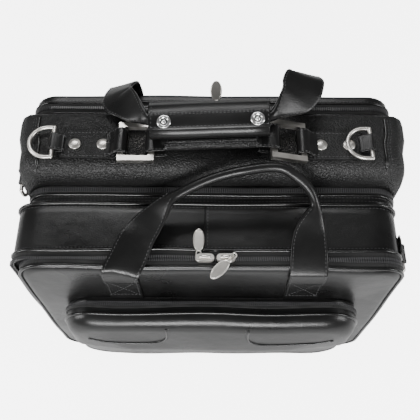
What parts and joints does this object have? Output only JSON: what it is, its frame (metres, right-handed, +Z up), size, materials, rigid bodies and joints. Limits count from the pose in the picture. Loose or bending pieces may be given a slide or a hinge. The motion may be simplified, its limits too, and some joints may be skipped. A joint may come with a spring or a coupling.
{
  "type": "rolling laptop case",
  "caption": "Black leather laptop case in three zipped sections, with carrying handles, metal rings, a front pocket, a telescopic trolley and wheels.",
  "frame": {"origin": "on the floor, in the middle of the footprint", "axes": "+Z up, +X across the case to the right as seen from the front pocket, +Y from the front pocket to the trolley"},
  "size_m": [0.4578, 0.3, 0.4204],
  "materials": {
    "pebbled_leather": "pebble-grained black cowhide with a soft sheen",
    "smooth_leather": "smooth glazed black leather",
    "lining_fabric": "woven nylon lining",
    "stiffener_board": "fibre board covered with lining",
    "zip_coil": "black nylon coil on woven tape",
    "nickel": "satin nickel plate",
    "snap_chrome": "polished plate",
    "tube_aluminium": "satin anodised",
    "moulded_plastic": "fine-textured black moulding",
    "tyre_rubber": "dark rubber tread",
    "fastener_steel": "zinc-plated steel"
  },
  "bodies": {
    "main": {"main_shell": "pebbled_leather", "expansion_strip": "smooth_leather", "expansion_gusset": "lining_fabric", "laptop_shell_front": "smooth_leather", "file_divider": "stiffener_board", "laptop_pad": "lining_fabric", "base_board": "stiffener_board", "laptop_zip_front_half": "zip_coil", "top_patches": "smooth_leather", "top_rivets": "nickel", "dring_tabs": "smooth_leather", "side_tab_left": "smooth_leather", "base_feet": "moulded_plastic"},
    "front_frame": {"front_frame_shell": "smooth_leather", "main_zip_rear_half": "zip_coil", "side_tab_right": "smooth_leather"},
    "front_panel": {"front_panel_shell": "smooth_leather", "main_zip_front_half": "zip_coil", "pocket_frame": "smooth_leather", "front_strap_patches": "smooth_leather"},
    "pocket_panel": {"pocket_shell": "smooth_leather"},
    "rear_panel": {"laptop_shell_rear": "smooth_leather", "rear_board": "stiffener_board", "laptop_zip_rear_half": "zip_coil", "rear_strap_patches": "smooth_leather", "trolley_outer_tubes": "tube_aluminium", "trolley_brackets": "moulded_plastic", "trolley_screws": "fastener_steel", "wheel_housings": "moulded_plastic", "wheel_axles": "fastener_steel"},
    "trolley_1": {"trolley_stage_1": "tube_aluminium"},
    "trolley_2": {"trolley_stage_2": "tube_aluminium"},
    "trolley_3": {"trolley_stage_3": "tube_aluminium", "trolley_grip": "moulded_plastic"},
    "button": {"trolley_button": "moulded_plastic"},
    "wheel_left": {"wheel_hub_left": "moulded_plastic", "wheel_tyre_left": "tyre_rubber"},
    "wheel_right": {"wheel_hub_right": "moulded_plastic", "wheel_tyre_right": "tyre_rubber"},
    "rear_handle": {"rear_straps": "smooth_leather", "handle_wrap": "smooth_leather", "wrap_snaps": "snap_chrome"},
    "front_handle": {"front_handle": "smooth_leather"},
    "top_handle": {"top_handle": "pebbled_leather"},
    "ring_left": {"ring_left": "nickel"},
    "ring_right": {"ring_right": "nickel"},
    "dring_left": {"dring_left": "nickel"},
    "dring_right": {"dring_right": "nickel"},
    "side_ring_left": {"side_ring_left": "nickel"},
    "side_ring_right": {"side_ring_right": "nickel"},
    "main_slider_left": {"main_slider_left": "nickel"},
    "main_slider_right": {"main_slider_right": "nickel"},
    "main_pull_left": {"main_pull_left": "nickel"},
    "main_pull_right": {"main_pull_right": "nickel"},
    "laptop_slider_left": {"laptop_slider_left": "nickel"},
    "laptop_slider_right": {"laptop_slider_right": "nickel"},
    "laptop_pull_left": {"laptop_pull_left": "nickel"},
    "laptop_pull_right": {"laptop_pull_right": "nickel"},
    "pocket_slider": {"pocket_slider": "nickel"},
    "expansion_slider": {"expansion_slider": "zip_coil"}
  },
  "joints": [
    {"name": "rear_panel_hinge", "type": "hinge", "parent": "main", "child": "rear_panel", "pos_m": [0, 0.092, 0.022], "axis": [-1, 0, 0], "range_deg": [0, 20]},
    {"name": "trolley_1_slide", "type": "slide", "parent": "rear_panel", "child": "trolley_1", "axis": [0, 0, 1], "range_m": [0, 0.21]},
    {"name": "trolley_2_slide", "type": "slide", "parent": "trolley_1", "child": "trolley_2", "axis": [0, 0, 1], "range_m": [0, 0.21]},
    {"name": "trolley_3_slide", "type": "slide", "parent": "trolley_2", "child": "trolley_3", "axis": [0, 0, 1], "range_m": [0, 0.21]},
    {"name": "button_press", "type": "slide", "parent": "trolley_3", "child": "button", "axis": [0, 0, -1], "range_m": [0, 0.003], "stiffness_N_per_m": 300},
    {"name": "wheel_left_spin", "type": "hinge", "parent": "rear_panel", "child": "wheel_left", "pos_m": [-0.186, 0.124, 0.026], "axis": [1, 0, 0], "continuous": true},
    {"name": "wheel_right_spin", "type": "hinge", "parent": "rear_panel", "child": "wheel_right", "pos_m": [0.186, 0.124, 0.026], "axis": [1, 0, 0], "continuous": true},
    {"name": "rear_handle_swing", "type": "hinge", "parent": "rear_panel", "child": "rear_handle", "pos_m": [0, 0.1198, 0.335], "axis": [1, 0, 0], "range_deg": [-150, 0]},
    {"name": "expansion_slide", "type": "slide", "parent": "main", "child": "front_frame", "axis": [0, -1, 0], "range_m": [0, 0.038]},
    {"name": "front_panel_hinge", "type": "hinge", "parent": "front_frame", "child": "front_panel", "pos_m": [0, -0.097, 0.022], "axis": [1, 0, 0], "range_deg": [0, 75]},
    {"name": "pocket_hinge", "type": "hinge", "parent": "front_panel", "child": "pocket_panel", "pos_m": [0, -0.118, 0.032], "axis": [1, 0, 0], "range_deg": [0, 60]},
    {"name": "front_handle_swing", "type": "hinge", "parent": "front_panel", "child": "front_handle", "pos_m": [0, -0.1148, 0.312], "axis": [-1, 0, 0], "range_deg": [-165, 0]},
    {"name": "top_handle_lift", "type": "slide", "parent": "main", "child": "top_handle", "axis": [0, 0, 1], "range_m": [0, 0.005]},
    {"name": "ring_left_tilt", "type": "hinge", "parent": "main", "child": "ring_left", "pos_m": [-0.10275, 0.0285, 0.3763], "axis": [0, -1, 0], "range_deg": [0, 8.28]},
    {"name": "ring_right_tilt", "type": "hinge", "parent": "main", "child": "ring_right", "pos_m": [0.10275, 0.0285, 0.3763], "axis": [0, 1, 0], "range_deg": [0, 8.7]},
    {"name": "dring_left_swing", "type": "hinge", "parent": "main", "child": "dring_left", "pos_m": [-0.18, 0.0285, 0.3765], "axis": [0, 1, 0], "range_deg": [0, 170]},
    {"name": "dring_right_swing", "type": "hinge", "parent": "main", "child": "dring_right", "pos_m": [0.18, 0.0285, 0.3765], "axis": [0, 1, 0], "range_deg": [0, 170]},
    {"name": "side_ring_left_swing", "type": "hinge", "parent": "main", "child": "side_ring_left", "pos_m": [-0.22445, 0.014, 0.325], "axis": [0, 1, 0], "range_deg": [0, 120]},
    {"name": "side_ring_right_swing", "type": "hinge", "parent": "front_frame", "child": "side_ring_right", "pos_m": [0.22445, -0.07, 0.29], "axis": [0, -1, 0], "range_deg": [0, 120]},
    {"name": "main_slider_left_run", "type": "slide", "parent": "front_frame", "child": "main_slider_left", "axis": [-1, 0, 0], "range_m": [0, 0.045]},
    {"name": "main_slider_right_run", "type": "slide", "parent": "front_frame", "child": "main_slider_right", "axis": [1, 0, 0], "range_m": [0, 0.045]},
    {"name": "main_pull_left_swing", "type": "hinge", "parent": "main_slider_left", "child": "main_pull_left", "pos_m": [-0.014, -0.097, 0.3403], "axis": [1, 0, 0], "range_deg": [0, 150]},
    {"name": "main_pull_right_swing", "type": "hinge", "parent": "main_slider_right", "child": "main_pull_right", "pos_m": [0.024, -0.097, 0.3443], "axis": [-0.7071, 0.7071, 0], "range_deg": [0, 150]},
    {"name": "laptop_slider_left_run", "type": "slide", "parent": "main", "child": "laptop_slider_left", "axis": [-1, 0, 0], "range_m": [0, 0.075]},
    {"name": "laptop_slider_right_run", "type": "slide", "parent": "main", "child": "laptop_slider_right", "axis": [1, 0, 0], "range_m": [0, 0.135]},
    {"name": "laptop_pull_left_swing", "type": "hinge", "parent": "laptop_slider_left", "child": "laptop_pull_left", "pos_m": [0.005, 0.092, 0.3583], "axis": [1, 0, 0], "range_deg": [0, 100]},
    {"name": "laptop_pull_right_swing", "type": "hinge", "parent": "laptop_slider_right", "child": "laptop_pull_right", "pos_m": [0.026, 0.092, 0.3583], "axis": [-1, 0, 0], "range_deg": [0, 100]},
    {"name": "pocket_slider_run", "type": "slide", "parent": "front_panel", "child": "pocket_slider", "axis": [0, 0, 1], "range_m": [0, 0.1]},
    {"name": "expansion_slider_run", "type": "slide", "parent": "main", "child": "expansion_slider", "axis": [0, 0, -1], "range_m": [0, 0.2]}
  ],
  "couplings": [
    {"joint": "ring_left_tilt", "follows": "top_handle_lift", "rad_per_m": 28.877},
    {"joint": "ring_right_tilt", "follows": "top_handle_lift", "rad_per_m": 30.347}
  ]
}
